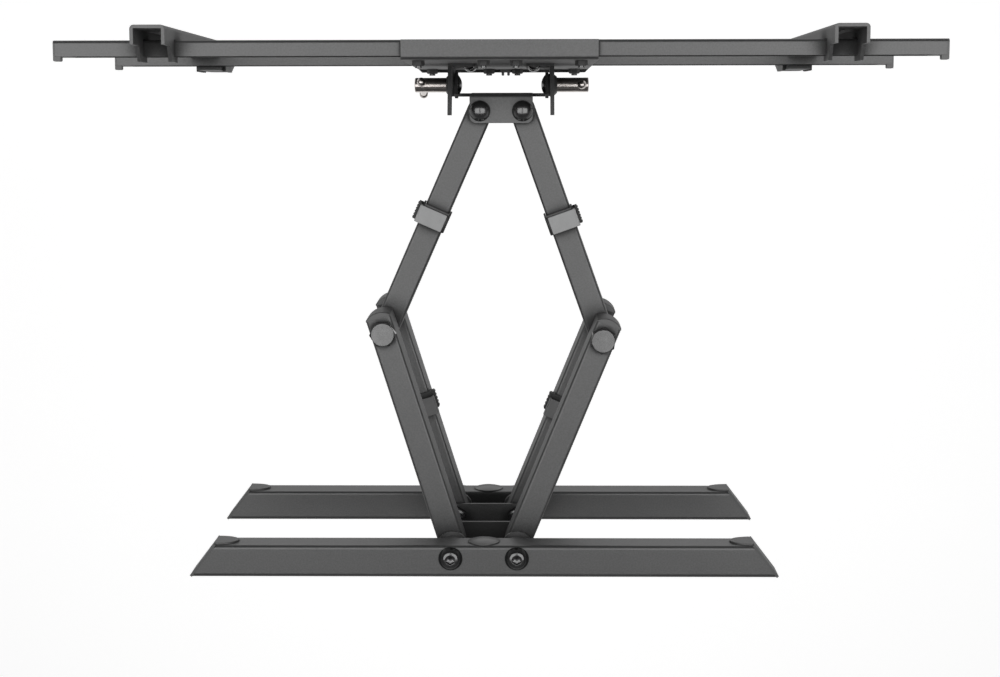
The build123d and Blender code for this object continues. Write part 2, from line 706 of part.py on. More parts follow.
def rail_stop(side, z):
    """A plastic end plug whose lip keeps a screen bracket from sliding off."""
    x1, x2 = side * tv_rail_end, side * (tv_rail_end + cap_tongue_plate)
    inner = tv_rail_half - tv_rail_sheet - snug
    body = box(side * (tv_rail_end - stop_insert), x1, tv_rail_sheet + snug - tv_rail_face,
               -plate_back, z - inner, z + inner)
    top = z + tv_rail_half
    lip = box(x2 - side * stop_length, x2, -plate_back, stop_proud - plate_back, top - stop_height, top)
    lip = fillet(lip.edges().filter_by(Axis.Z).group_by(Axis.Y)[-1], stop_round)
    cover = box(x1, x2, -tv_rail_face, -plate_back, z - tv_rail_half, top)
    cover = fillet(cover.edges().filter_by(Axis.X).group_by(Axis.Y)[0], tv_rail_corner)
    return body + lip + cover


def plate_bolt(x, z):
    shank = rod_y(m5_r, m5_nut + short_stub - plate_gap, countersink_depth - tv_rail_face, x, z)
    return shank + countersunk_head(x, z, 0)


def plate_nut(x, z):
    nut = hex_nut(m5_af, m5_nut, m5_r + fit)
    return Plane((x, -plate_gap, z), x_dir=(1, 0, 0), z_dir=(0, 1, 0)).location * nut


# Screen bracket with its latch, drawn about x = 0 in the plate's frame

def vesa_bracket():
    half = vesa_width / 2
    body = box(-half, half, -vesa_front, -vesa_rear, vesa_bottom, vesa_top)
    body = fillet(body.edges().filter_by(Axis.Z).group_by(Axis.Y)[0], vesa_corner)
    inside = half - vesa_sheet
    body -= box(-inside, inside, -vesa_inner, -vesa_rear, vesa_bottom, vesa_top)
    back = vesa_depth - vesa_front
    rail_front = -tv_rail_face - vesa_play
    rail_rear = vesa_play - plate_back
    upper_top = tv_rail_z + tv_rail_half + vesa_play
    upper_low = tv_rail_z - tv_rail_half - hook_slack
    hook_low, hook_top = upper_top - hook_overlap, upper_top + vesa_hook_rise
    lower_top = tv_rail_half - tv_rail_z + vesa_play
    lower_low = -tv_rail_half - tv_rail_z - vesa_play
    cuts = [
        [(-vesa_rear, hook_top), (back, hook_top + vesa_hook_slope), (back, vesa_top), (-vesa_rear, vesa_top)],
        [(rail_front, upper_low), (rail_front, upper_top), (rail_rear, upper_top), (rail_rear, hook_low),
         (-vesa_rear, hook_low), (-vesa_rear, lower_low), (rail_front, lower_low), (rail_front, lower_top),
         (back, lower_top), (back, upper_low)],
        [(-vesa_rear, vesa_taper_start), (back, vesa_taper_end), (back, vesa_bottom), (-vesa_rear, vesa_bottom)],
    ]
    for points in cuts:
        face = Plane((-vesa_width, 0, 0), x_dir=(0, 1, 0), z_dir=(1, 0, 0)) * make_face(Polyline(*points, close=True))
        body -= extrude(face, 2 * vesa_width)
    for end, inwards in ((vesa_top, -1), (vesa_bottom, 1)):
        hole = end + inwards * vesa_hole_inset
        body -= rod_y(vesa_hole_r, -vesa_front, -vesa_inner, 0, hole)
        for step in vesa_slots:
            at = Plane((0, -vesa_inner, hole + inwards * step), x_dir=(0, 0, 1), z_dir=(0, -1, 0))
            body -= extrude(at * SlotOverall(vesa_slot_length, 2 * vesa_hole_r), vesa_sheet)
    return body - rod_x(lock_r + fit, -half, half, -lock_y, lock_z)


def vesa_latch():
    """Slides up behind the lower rail; pulled down by its eye to let the bracket go."""
    half = vesa_width / 2 - vesa_sheet - latch_side_play
    front = -plate_back + latch_side_play
    body = box(-half, half, front, front + latch_plate, latch_bottom, latch_top)
    body = fillet(body.edges().filter_by(Axis.Y).group_by(Axis.Z)[0], latch_eye_r)
    body -= rod_y(latch_eye_r, front, front + latch_plate, 0, latch_bottom + 2 * latch_eye_r)
    body += box(-half, half, latch_side_play - vesa_inner, front, latch_block_bottom, latch_block_top)
    slot = Plane((-half, -lock_y, lock_z), x_dir=(0, 0, 1), z_dir=(1, 0, 0))
    slot = extrude(slot * Pos(latch_travel / 2, 0) * SlotOverall(latch_travel + 2 * lock_r + 4 * fit,
                                                                 2 * (lock_r + 2 * fit)), 2 * half)
    return body - slot


def lock_screw(side):
    """A screw across the bracket through the latch's slot, with a thumb disc on the inner side."""
    half = vesa_width / 2
    reach = half + lock_reach
    body = rod_x(lock_r, -half, reach, 0, 0) + rod_x(lock_disc_r, reach, reach + lock_disc)
    body += rod_x(lock_head_r, -half - lock_head, -half)
    body = Pos(0, -lock_y, lock_z) * body
    return mirror(body, about=Plane.YZ) if side > 0 else body


# Wall side
keep("upper_wall_rail", wall_rail(rail_z))
keep("lower_wall_rail", wall_rail(-rail_z))
keep("centre_bracket", centre_bracket())
keep("rail_end_caps", *[rail_end_cap(side, z) for side in (1, -1) for z in (rail_z, -rail_z)])
keep("access_plugs", access_plug(rail_z), access_plug(-rail_z))
corners = [(side, upper) for side in (1, -1) for upper in (True, False)]
keep("wall_pivot_bolts", *[wall_pivot_bolt(*corner) for corner in corners])
keep("wall_pivot_nuts", *[wall_pivot_nut(*corner) for corner in corners])
keep("wall_pivot_bushes", *[piece for corner in corners for piece in wall_pivot_bushes(*corner)])
keep("rail_crush_sleeves", *[crush_sleeve(*corner) for corner in corners])

# Arms: the clip's latch is outside on a front arm and inside on a rear one
for side, name in ((1, "right"), (-1, "left")):
    rear, front = rear_place(side), front_place(side)
    keep(f"rear_upper_tube_{name}", rear * rear_tube(True))
    keep(f"rear_lower_tube_{name}", rear * rear_tube(False))
    keep(f"rear_sleeves_{name}", *[rear * sleeve for sleeve in rear_sleeves()])
    keep(f"elbow_caps_{name}", rear * elbow_cap(tube_inner_z), rear * elbow_cap(-tube_outer_z))
    keep(f"elbow_bolt_{name}", rear * elbow_bolt())
    keep(f"elbow_nut_{name}", rear * elbow_nut())
    clip_at = rear * Pos(clip_on_rear, 0, -tube_inner_z)
    keep(f"rear_clip_{name}", clip_at * cable_clip(-side))
    keep(f"rear_clip_cover_{name}", clip_at * clip_cover(-side))
    keep(f"front_tube_{name}", front * front_tube())
    head_bore = m10_r + (fit if side > 0 else free_fit)
    keep(f"front_sleeves_{name}", *[front * sleeve for sleeve in front_sleeves(head_bore)])
    keep(f"front_washers_{name}", *[front * washer for washer in front_washers()])
    clip_at = front * Pos(clip_on_front, 0, front_half)
    keep(f"front_clip_{name}", clip_at * cable_clip(side))
    keep(f"front_clip_cover_{name}", clip_at * clip_cover(side))

# Head
keep("head_bracket", head_at * head_bracket())
keep("head_pivot_bolts", *[head_at * head_pivot_bolt(side) for side in (1, -1)])
keep("head_pivot_nuts", *[head_at * head_pivot_nut(side) for side in (1, -1)])
keep("tilt_bolts", *[Pos(head_shift, -tilt_reach, 0) * tilt_bolt(side) for side in (1, -1)])

# Screen plate
keep("tilt_bracket", tilt_at * tilt_ear(1), tilt_at * tilt_ear(-1))
keep("tilt_bracket_screws", *[tilt_at * foot_screw(*place) for place in foot_screw_places])
keep("tilt_washers", *[tilt_at * washer for side in (1, -1) for washer in tilt_washers(side)])
keep("centre_plate", tilt_at * centre_plate())
keep("plate_bolts", *[tilt_at * plate_bolt(*place) for place in bolt_places])
keep("plate_nuts", *[tilt_at * plate_nut(*place) for place in bolt_places])
keep("rail_end_stops", *[tilt_at * rail_stop(side, z) for side in (1, -1) for z in (tv_rail_z, -tv_rail_z)])
for side, name in ((1, "right"), (-1, "left")):
    keep(f"upper_screen_rail_{name}", tilt_at * screen_rail(side, tv_rail_z))
    keep(f"lower_screen_rail_{name}", tilt_at * screen_rail(side, -tv_rail_z))
    keep(f"clamp_nut_{name}", tilt_at * clamp_nut(side))
    keep(f"tommy_bar_{name}", tilt_at * tommy_bar(side))
    bracket_at = tilt_at * Pos(side * vesa_half_spacing, 0, 0)
    keep(f"vesa_bracket_{name}", bracket_at * vesa_bracket())
    keep(f"vesa_latch_{name}", bracket_at * vesa_latch())
    keep(f"lock_screw_{name}", bracket_at * lock_screw(side))

os.makedirs("parts", exist_ok=True)
for name, solids in parts.items():
    whole = solids[0] if len(solids) == 1 else Compound(children=list(solids))
    export_step(whole, f"parts/{name}.step")
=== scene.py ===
"""Looks of the full-motion wall mount: finishes, small turned and welded detail, light and camera.

Lengths are in metres, in the frame of the solids: the wall is y = 0, the screen is towards -Y, and
+Z is up. Sizes of the detail are named in millimetres and scaled where the pieces are made.
"""
import json
from math import cos, pi, radians, sin

import bmesh
import bpy
from mathutils import Matrix, Vector


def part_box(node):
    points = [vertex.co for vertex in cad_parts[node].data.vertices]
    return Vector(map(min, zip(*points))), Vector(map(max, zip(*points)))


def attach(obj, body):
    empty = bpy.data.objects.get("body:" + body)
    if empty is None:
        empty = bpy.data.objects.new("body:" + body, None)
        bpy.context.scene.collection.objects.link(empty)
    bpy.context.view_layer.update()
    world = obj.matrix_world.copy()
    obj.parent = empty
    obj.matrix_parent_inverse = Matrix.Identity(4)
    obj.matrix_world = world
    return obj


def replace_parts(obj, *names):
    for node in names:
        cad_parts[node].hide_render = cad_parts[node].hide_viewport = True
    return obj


MM = 0.001
UPRIGHT = Matrix.Identity(3)
SIDES = ((1, "right"), (-1, "left"))
ENDS = ((1, "upper"), (-1, "lower"))

# Camera, as the photograph was taken: from above, looking down past the head towards the wall
CAMERA_AT = Vector((-0.0327, -0.3961, 1.4387))
CAMERA_AIM = Vector((-0.0115, -0.1704, 0.0))
CAMERA_UP = Vector((0, -1, 0))
CAMERA_ROLL = radians(-0.13)
CAMERA_LENS = 64.8
SENSOR_WIDTH = 36.0

# Light: two overhead panels either side of the camera, in a dim room with a pale floor
PANEL_SIZE = (1.75, 1.65)
PANEL_GAP = 0.24
PANEL_HEIGHT = 1.75
PANEL_Y = -0.42
PANEL_RADIANCE = 2.1
ROOM_LIGHT, HORIZON_LIGHT = 0.12, 0.46
HORIZON_TOP, ROOM_START = 0.59, 0.67        # as shares of the way from straight down to straight up
FLOOR_HEIGHT = -1.1
FLOOR_RADIUS, FLOOR_SIDES = 30.0, 64
FLOOR_COLOUR = 0.80
FLOOR_GLOW, FLOOR_FAR_GLOW = 0.68, 0.42
FLOOR_NEAR, FLOOR_FAR = 1.0, 3.0

# Finishes: how a skin dulls towards grazing views, and between which levels of the normal, from the
# sides' 0 to the top's 1, a rounded edge counts as a corner, where shade is painted
GRAZING_START, GRAZING_END, GRAZING_ROUGH = 0.6, 0.85, 0.66
OFF_SIDES, OFF_TOP = (0.20, 0.40), (0.97, 0.88)

# Where the detail goes, in millimetres, as the solids have it
WALL_PIVOT_X, WALL_PIVOT_Y = 25.5, -15.0
WALL_SHANKS = {"upper": (18.0, 100.0), "lower": (-110.0, -28.0)}    # each from tip to head
HEAD_PIVOT_HALF = 16.5
FRONT_HALF = 30.0

# Threads: radius and pitch, and how much of a bolt stands out of its nut
M10, M12 = (5.0, 1.5), (6.0, 1.75)
THREAD_SHOWN = 2.0
THREAD_PROUD, THREAD_CORE = 0.16, 0.9       # ridge over the pitch, closed ends over the radius
THREAD_END = 0.1                            # share of the ridge that is left at both ends
THREAD_COLUMNS, THREAD_ROWS = 32, 8         # points round the bolt, rings to a pitch

# Bolts of the wall pivots, with the levels of a head above its seat
BOLT_COLUMNS = 48
BOLT_RADIUS, BOLT_POINT, BOLT_CHAMFER = 5.0, 4.6, 0.4
HEAD_GAP = 0.01                             # under a head, so that its seat keeps a sharp edge
DOME_RADIUS, DOME_SEAT, DOME_EDGE, DOME_RISE = 9.2, 0.98, 0.25, 5.4
DOME_RIM, DOME_STEPS = 4.0, 14
SOCKET_FLATS, SOCKET_CHAMFER, SOCKET_MOUTH, SOCKET_EDGE = 6.5, 0.25, 3.5, 0.6
SOCKET_FLOOR, SOCKET_TAPER = 2.0, 0.98
DRILL_POINT = ((0.9, 1.5), (0.75, 0.3))     # (level, radius)
HEXAGON_FLATS, HEXAGON_ROUND, HEXAGON_FACE = 16.0, 8.35, 7.7
HEXAGON_LEVELS = (0.7, 7.0, 7.8, 8.0)
# Middle of a bolt head that keeps the full reflection; outside it the head's reflection is dimmed,
# as painted shade
FULL_REFLECTION_RADIUS, FULL_REFLECTION_ABOVE = 5.9, 1.0
HEAD_EDGE = radians(32)

# Centre bracket: the web's half width and face, the rails above and below it, and its shelves
BRACKET_HALF, WEB_FACE, RAIL_UNDERSIDE, BRACKET_EDGE = 34.0, -2.5, 74.0, 0.3
SHELF_HALF, SHELF_TOP, SHELF_PLATE, SHELF_DEPTH = 38.0, 31.0, 3.0, 26.0
SHELF_CORNER, SHELF_INSET, CORNER_STEPS = 6.0, 0.35, 10

# Weld beads: radius, and how far the middle stands off the web
SHELF_BEAD, RAIL_BEAD = (2.0, 0.3), (2.2, 0.2)
BEAD_SHORT, BEAD_STEP, BEAD_COLUMNS = 1.0, 0.45, 12
BEAD_RIPPLE, BEAD_SWELL, BEAD_CREST = 1.9, 0.16, 0.7
BEAD_WANDER = ((0.06, 7.3), (0.05, 3.1))    # (share of the radius, over what length)
BEAD_END = 0.25

# Grip ridges of the locking screws
GRIP_RADIUS, GRIP_WIDTH, GRIP_DEPTH = 7.0, 2.5, 0.55
GRIP_CORE, GRIP_EDGE = 0.97, 0.12
GRIP_TEETH, TOOTH_COLUMNS = 32, 6

# Front cable clips, each in its own frame: x along the tube, y across it and turned over for the
# left arm, with the latch where y is positive, z up from the tube's top
CLIP_ALONG = 92.0
CLIP_START, CLIP_STOP, CLIP_ROUND = -4.4, 9.5, 0.3
LID_SECTION = ((-9.2, 10.1), (2.0, 10.1), (11.6, 10.1), (12.7, 9.75), (13.2, 8.6),
               (13.2, 1.7), (11.7, 1.7), (11.7, 8.2), (11.2, 8.6), (-9.2, 8.6))
LID_MIDDLE, LID_UPPER = 2.0, 9.7
HINGE_Y, HINGE_Z, HINGE_RADIUS, HINGE_END, HINGE_COLUMNS = -9.8, 8.2, 1.85, 1.5, 24
# The saddle's strip that shows past the lid, in a darker copy of the lid's grey: painted shade
TONGUE = ((9.3, -10.4, 1.6), (10.8, 10.4, 4.4))
SADDLE = (
    ((-4.4, -11.7, 0.25), (10.9, 11.7, 1.7)),       # plate on the tube
    ((-4.4, -11.7, -9.0), (12.4, -10.25, 1.0)),     # its two sides
    ((-4.4, 10.25, -9.0), (12.4, 11.7, 1.0)),
    ((-4.4, -11.7, 0.6), (9.5, -10.25, 6.1)),       # wall below the hinge
    ((-3.6, 11.5, -6.4), (11.2, 15.4, -5.0)),       # ledge of the thumb bar
    ((-3.6, 13.3, -6.4), (11.2, 15.4, 1.5)),        # thumb bar
)
RIB, RIB_STEP, RIBS = ((-3.0, 15.2, -5.8), (-1.8, 15.9, 0.9)), 2.4, 6
TONGUE_EDGE, SADDLE_EDGE = 0.3, 0.25

# Snap clip on the centre plate's lower lip, its blocks as (corner, corner, edge) from the lip
SNAP_ASIDE = 1.9
SNAP_BLOCKS = (
    ((-4.6, -5.0, 3.1), (4.6, -0.6, 4.9), 0.5),     # plates above and below the lip
    ((-4.6, -5.0, -1.9), (4.6, -0.6, -0.1), 0.5),
    ((-3.5, -1.6, -1.7), (-1.3, 2.6, 4.7), 0.6),    # prongs
    ((1.3, -1.6, -1.7), (3.5, 2.6, 4.7), 0.6),
)


class Nodes:
    """A node tree under construction, whose nodes are added and linked by name."""

    def __init__(self, owner):
        owner.use_nodes = True
        self.tree = owner.node_tree
        self.tree.nodes.clear()

    def give(self, node, key, value):
        """Gives an input a value, or links it to another node's output."""
        if isinstance(value, bpy.types.NodeSocket):
            self.tree.links.new(value, node.inputs[key])
        else:
            node.inputs[key].default_value = value

    def add(self, kind, inputs=None, **settings):
        """A node with its inputs and settings."""
        node = self.tree.nodes.new(kind)
        for key, value in settings.items():
            setattr(node, key, value)
        for key, value in (inputs or {}).items():
            self.give(node, key, value)
        return node


class Shader(Nodes):
    """A material under construction: a Principled surface and what feeds it."""

    def __init__(self, name):
        self.material = bpy.data.materials.new(name)
        super().__init__(self.material)
        self.surface = self.add("ShaderNodeBsdfPrincipled")
        self.add("ShaderNodeOutputMaterial", {"Surface": self.surface.outputs["BSDF"]})
        self.place = self.add("ShaderNodeTexCoord").outputs["Object"]

    def set(self, key, value):
        """Sets or links one input of the surface."""
        self.give(self.surface, key, value)

    def noise(self, size, detail=2.0, stretch=(1, 1, 1)):
        """Noise with features of about the given size, in metres."""
        where = self.add("ShaderNodeMapping", {"Vector": self.place, "Scale": stretch})
        inputs = {"Vector": where.outputs["Vector"], "Scale": 1 / size, "Detail": detail}
        return self.add("ShaderNodeTexNoise", inputs).outputs["Fac"]

    def remap(self, value, low, high, start=0.3, end=0.7, **settings):
        """A number that runs from low to high while the value runs from start to end."""
        inputs = {"Value": value, "From Min": start, "From Max": end, "To Min": low, "To Max": high}
        return self.add("ShaderNodeMapRange", inputs, **settings).outputs["Result"]

    def smooth_step(self, value, start, end):
        """From nothing at the start to one at the end, with soft ends."""
        return self.remap(value, 0.0, 1.0, start, end, interpolation_type="SMOOTHSTEP")

    def shades(self, value, dark, light, start=0.3, end=0.7):
        """A colour that runs from dark to light with the value."""
        ramp = self.add("ShaderNodeValToRGB", {"Fac": value})
        first, last = ramp.color_ramp.elements
        first.position, last.position = start, end
        first.color, last.color = (*dark, 1), (*light, 1)
        return ramp.outputs["Color"]

    def blend(self, part, first, second):
        """A number part of the way from the first to the second."""
        inputs = {"Factor": part, "A": first, "B": second}
        return self.add("ShaderNodeMix", inputs).outputs["Result"]

    def gloss(self, face_on):
        """A roughness that rises towards grazing views, as on a pebbled or hazy skin."""
        facing = self.add("ShaderNodeLayerWeight", {"Blend": 0.5}).outputs["Facing"]
        grazing = self.smooth_step(facing, GRAZING_START, GRAZING_END)
        return self.blend(grazing, face_on, GRAZING_ROUGH)

    def corners(self):
        """One on level edges that are rounded, where shade is painted; nothing on flat faces."""
        normal = self.add("ShaderNodeTexCoord").outputs["Normal"]
        level = self.add("ShaderNodeSeparateXYZ", {"Vector": normal}).outputs["Z"]
        level = self.add("ShaderNodeMath", {0: level}, operation="ABSOLUTE").outputs["Value"]
        off_sides = self.smooth_step(level, *OFF_SIDES)
        off_top = self.smooth_step(level, *OFF_TOP)
        both = self.add("ShaderNodeMath", {0: off_sides, 1: off_top}, operation="MULTIPLY")
        return both.outputs["Value"]

    def openness(self, reach):
        """How open a place is within a reach: one on free faces, less in recesses."""
        return self.add("ShaderNodeAmbientOcclusion", {"Distance": reach}, samples=8).outputs["AO"]

    def multiply(self, colour, factor):
        """The colour times a grey factor."""
        product = self.add("ShaderNodeVectorMath", {0: colour, 1: factor}, operation="MULTIPLY")
        return product.outputs["Vector"]

    def bump(self, layers, edge=0.0):
        """Stacks bumps, each (height, depth in metres), on softened edges."""
        normal = None
        if edge:
            normal = self.add("ShaderNodeBevel", {"Radius": edge}, samples=4).outputs["Normal"]
        for height, depth in layers:
            inputs = {"Height": height, "Distance": depth, "Strength": 1.0}
            if normal:
                inputs["Normal"] = normal
            normal = self.add("ShaderNodeBump", inputs).outputs["Normal"]
        self.set("Normal", normal)


def grey(value, tint=0.0):
    """A grey that leans a little to blue."""
    return value, value * (1 + tint / 2), value * (1 + tint)


def powder_coat():
    """Charcoal powder coat: a fine mottled skin, with painted shade on rounded corners and in
    recesses, which are also made dry.
    """
    s = Shader("powder_coat")
    grain = s.noise(1.3 * MM, detail=3)
    fine = s.noise(0.42 * MM, detail=2)
    cloud = s.noise(38 * MM, detail=4)
    free = s.openness(reach=60 * MM)
    base = s.shades(grain, dark=grey(0.030, 0.015), light=grey(0.046, 0.015), start=0.36, end=0.64)
    mottle = s.remap(cloud, low=0.93, high=1.06)
    # painted shade: rounded level edges darken the base colour to as little as 0.30
    painted_corner_shade = s.remap(s.corners(), low=1.0, high=0.30, start=0.0, end=1.0)
    # painted shade: ambient occlusion darkens the base colour in recesses to as little as 0.20
    painted_recess_shade = s.remap(free, low=0.20, high=1.0, start=0.35, end=0.85)
    # the painted shade of corners and recesses together, multiplied into the base colour
    painted_shade = s.multiply(painted_corner_shade, painted_recess_shade)
    s.set("Base Color", s.multiply(s.multiply(base, mottle), painted_shade))
    gloss = s.gloss(s.remap(fine, low=0.34, high=0.43))
    dry = s.remap(free, low=1.0, high=0.0, start=0.50, end=0.85)
    s.set("Roughness", s.blend(dry, gloss, 0.95))
    s.set("IOR", 1.87)
    s.bump([(grain, 0.030 * MM), (fine, 0.022 * MM)], edge=0.35 * MM)
    return s.material


def black_steel(name, index):
    """Blackened bolts: glossy, with faint smears of oil."""
    s = Shader(name)
    smear = s.noise(3.2 * MM, detail=4)
    fine = s.noise(0.16 * MM, detail=3)
    s.set("Base Color", s.shades(smear, dark=grey(0.007, 0.04), light=grey(0.014, 0.04)))
    s.set("Roughness", s.remap(smear, low=0.16, high=0.26))
    s.set("IOR", index)
    s.bump([(fine, 0.004 * MM)], edge=0.3 * MM)
    return s.material


def bright_chrome():
    """Bright plating over turned steel, warm and a little hazy."""
    s = Shader("bright_chrome")
    haze = s.noise(2.0 * MM, detail=4)
    turned = s.noise(0.12 * MM, detail=2, stretch=(8, 1, 1))
    s.set("Base Color", s.shades(haze, dark=(0.46, 0.42, 0.395), light=(0.60, 0.57, 0.55)))
    s.set("Metallic", 1.0)
    s.set("Roughness", s.remap(haze, low=0.08, high=0.18))
    s.bump([(turned, 0.002 * MM)], edge=0.25 * MM)
    return s.material


def zinc_plate():
    """Zinc plating with its pale cloudy bloom."""
    s = Shader("zinc_plate")
    bloom = s.noise(2.6 * MM, detail=5)
    fine = s.noise(0.2 * MM, detail=3)
    s.set("Base Color", s.shades(bloom, dark=(0.42, 0.43, 0.45), light=(0.60, 0.60, 0.58)))
    s.set("Metallic", 1.0)
    s.set("Roughness", s.remap(bloom, low=0.28, high=0.44))
    s.bump([(fine, 0.004 * MM)], edge=0.3 * MM)
    return s.material


def moulded_plastic(name, dark, light, rough, index=1.5, tint=0.0):
    """Spark-eroded moulded plastic."""
    s = Shader(name)
    spark = s.noise(0.30 * MM, detail=3)
    flow = s.noise(9.0 * MM, detail=3)
    base = s.shades(spark, grey(dark, tint), grey(light, tint))
    s.set("Base Color", s.multiply(base, s.remap(flow, low=0.94, high=1.05)))
    s.set("Roughness", s.gloss(s.remap(spark, low=rough, high=rough + 0.10)))
    s.set("IOR", index)
    s.bump([(spark, 0.010 * MM)], edge=0.3 * MM)
    return s.material


def weld_metal():
    """Weld beads under the powder coat: rounder, with a softer shine."""
    s = Shader("coated_weld")
    grain = s.noise(0.9 * MM, detail=3)
    s.set("Base Color", s.shades(grain, dark=grey(0.028, 0.015), light=grey(0.042, 0.015)))
    s.set("Roughness", s.gloss(s.remap(grain, low=0.32, high=0.40)))
    s.set("IOR", 1.85)
    s.bump([(grain, 0.05 * MM)])
    return s.material


def dress_nodes(frame, finishes, exceptions):
    """Gives each solid the finish of its slot in the record, apart from those with their own."""
    for part in frame["record"]["subparts"]:
        obj = frame["nodes"][part["node"]]
        obj.data.materials.clear()
        obj.data.materials.append(exceptions.get(part["node"], finishes[part["material_slot"]]))
        for face in obj.data.polygons:
            face.material_index = 0


def add_object(name, mesh, finish, smooth):
    """An object in the scene from a mesh, all in one finish."""
    mesh.materials.append(finish)
    for face in mesh.polygons:
        face.use_smooth = smooth
    obj = bpy.data.objects.new(name, mesh)
    bpy.context.scene.collection.objects.link(obj)
    return obj


def mesh_of(build, name):
    """Closes a bmesh into a mesh."""
    mesh = bpy.data.meshes.new(name)
    build.to_mesh(mesh)
    build.free()
    return mesh


def make_piece(name, points, faces, body, finish, smooth=True):
    """A mesh that rides on a body, in the finish it is given."""
    mesh = bpy.data.meshes.new(name)
    mesh.from_pydata(points, [], faces)
    build = bmesh.new()
    build.from_mesh(mesh)
    bmesh.ops.recalc_face_normals(build, faces=build.faces)
    build.to_mesh(mesh)
    build.free()
    obj = add_object(name, mesh, finish, smooth)
    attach(obj, body)
    return obj


def grid_faces(rows, columns):
    """Quads between rings of points, and a cap on each end ring."""
    faces = []
    for i in range(rows - 1):
        for j in range(columns):
            k = (j + 1) % columns
            a, b = i * columns, (i + 1) * columns
            faces.append((a + j, a + k, b + k, b + j))
    faces.append(tuple(reversed(range(columns))))
    faces.append(tuple((rows - 1) * columns + j for j in range(columns)))
    return faces


def ring_points(at, turn, height, radii):
    """A ring of points about an axis: the z axis of the turn, through the place."""
    count = len(radii)
    return [at + turn @ Vector((r * cos(2 * pi * j / count), r * sin(2 * pi * j / count), height))
            for j, r in enumerate(radii)]


def turned_piece(name, rings, at, turn, body, finish):
    """A closed piece through rings about an axis, each (height, radii) in metres."""
    points = []
    for height, radii in rings:
        points += ring_points(at, turn, height, radii)
    faces = grid_faces(len(rings), len(rings[0][1]))
    return make_piece(name, points, faces, body, finish)


def thread(name, body, finish, at, size):
    """Helical thread ridges round the end of an upright bolt, from its tip back to the nut."""
    radius, pitch = size[0] * MM, size[1] * MM
    length = THREAD_SHOWN * MM
    proud = THREAD_PROUD * pitch
    rows = int(length / pitch * THREAD_ROWS)
    rings = []
    for i in range(rows + 1):
        height = length * i / rows
        fade = min(1.0, 3 * min(i, rows - i) / rows + THREAD_END)
        radii = []
        for j in range(THREAD_COLUMNS):
            phase = (height / pitch + j / THREAD_COLUMNS) % 1.0
            radii.append(radius + proud * fade * (1 - abs(2 * phase - 1)))
        rings.append((height, radii))
    core = [radius * THREAD_CORE] * THREAD_COLUMNS
    rings = [(0.0, core), *rings, (rings[-1][0], core)]
    return turned_piece(name, rings, at, UPRIGHT, body, finish)


def knurl(name, body, finish, at, turn):
    """A ring of straight grip ridges round a disc."""
    radius, width, depth = GRIP_RADIUS * MM, GRIP_WIDTH * MM, GRIP_DEPTH * MM
    columns = GRIP_TEETH * TOOTH_COLUMNS
    wave = [radius + depth * (0.5 - 0.5 * cos(2 * pi * j / TOOTH_COLUMNS)) for j in range(columns)]
    inner = [radius * GRIP_CORE] * columns
    half = [(a + b) / 2 for a, b in zip(inner, wave)]
    edge = GRIP_EDGE * width
    rings = [(0, inner), (0, half), (edge, wave),
             (width - edge, wave), (width, half), (width, inner)]
    return turned_piece(name, rings, at, turn, body, finish)


def weld_bead(name, start, end, radius, body, finish):
    """A rippled bead along a straight seam, whose width wanders, and tapers at both ends."""
    along = (end - start).normalized()
    length = (end - start).length
    turn = along.to_track_quat("Z", "Y").to_matrix()
    step = BEAD_STEP * MM
    rows = int(length / step)
    rings = []
    for i in range(rows + 1):
        height = length * i / rows
        swell = abs(cos(pi * height / (BEAD_RIPPLE * MM))) ** BEAD_CREST
        ripple = 1 - BEAD_SWELL + BEAD_SWELL * swell
        wander = 1 + sum(share * sin(height / (wave * MM)) for share, wave in BEAD_WANDER)
        taper = min(1.0, (BEAD_END + min(i, rows - i) * step / radius) / (1 + BEAD_END))
        rings.append((height, [radius * wander * taper * ripple] * BEAD_COLUMNS))
    return turned_piece(name, rings, start, turn, body, finish)


def rounded_block(build, low, high, edge):
    """Adds a block with rounded edges to a bmesh."""
    size = Vector(high) - Vector(low)
    middle = (Vector(high) + Vector(low)) / 2
    place = Matrix.Translation(middle) @ Matrix.Diagonal((*size, 1))
    made = bmesh.ops.create_cube(build, size=1.0, matrix=place)
    edges = {e for v in made["verts"] for e in v.link_edges}
    bmesh.ops.bevel(build, geom=list(edges), offset=edge, segments=3, profile=0.5, affect="EDGES")


def blocks_piece(name, blocks, body, finish, place, edge):
    """One piece of several rounded blocks, each given by two opposite corners in millimetres."""
    build = bmesh.new()
    for first, second in blocks:
        low = [min(a, b) * MM for a, b in zip(first, second)]
        high = [max(a, b) * MM for a, b in zip(first, second)]
        rounded_block(build, low, high, edge * MM)
    mesh = mesh_of(build, name)
    mesh.transform(place)
    obj = add_object(name, mesh, finish, smooth=False)
    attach(obj, body)
    return obj


def add_snap_clip(finish):
    """A small moulded snap clip over the centre plate's lower lip, with two prongs."""
    low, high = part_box("centre_plate")
    at = Vector(((low.x + high.x) / 2 - SNAP_ASIDE * MM, high.y, low.z))
    build = bmesh.new()
    for first, second, edge in SNAP_BLOCKS:
        rounded_block(build, at + Vector(first) * MM, at + Vector(second) * MM, edge * MM)
    obj = add_object("lip_snap_clip", mesh_of(build, "lip_snap_clip"), finish, smooth=True)
    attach(obj, "screen_plate")


def disc(radius, columns=BOLT_COLUMNS):
    """The even radii of a round ring, in metres."""
    return [radius * MM] * columns


def hexagon_radii(flats, count):
    """Radii of a hexagon's outline, for points at even angles."""
    return [flats / 2 / cos((2 * pi * j / count + pi / 6) % (pi / 3) - pi / 6)
            for j in range(count)]


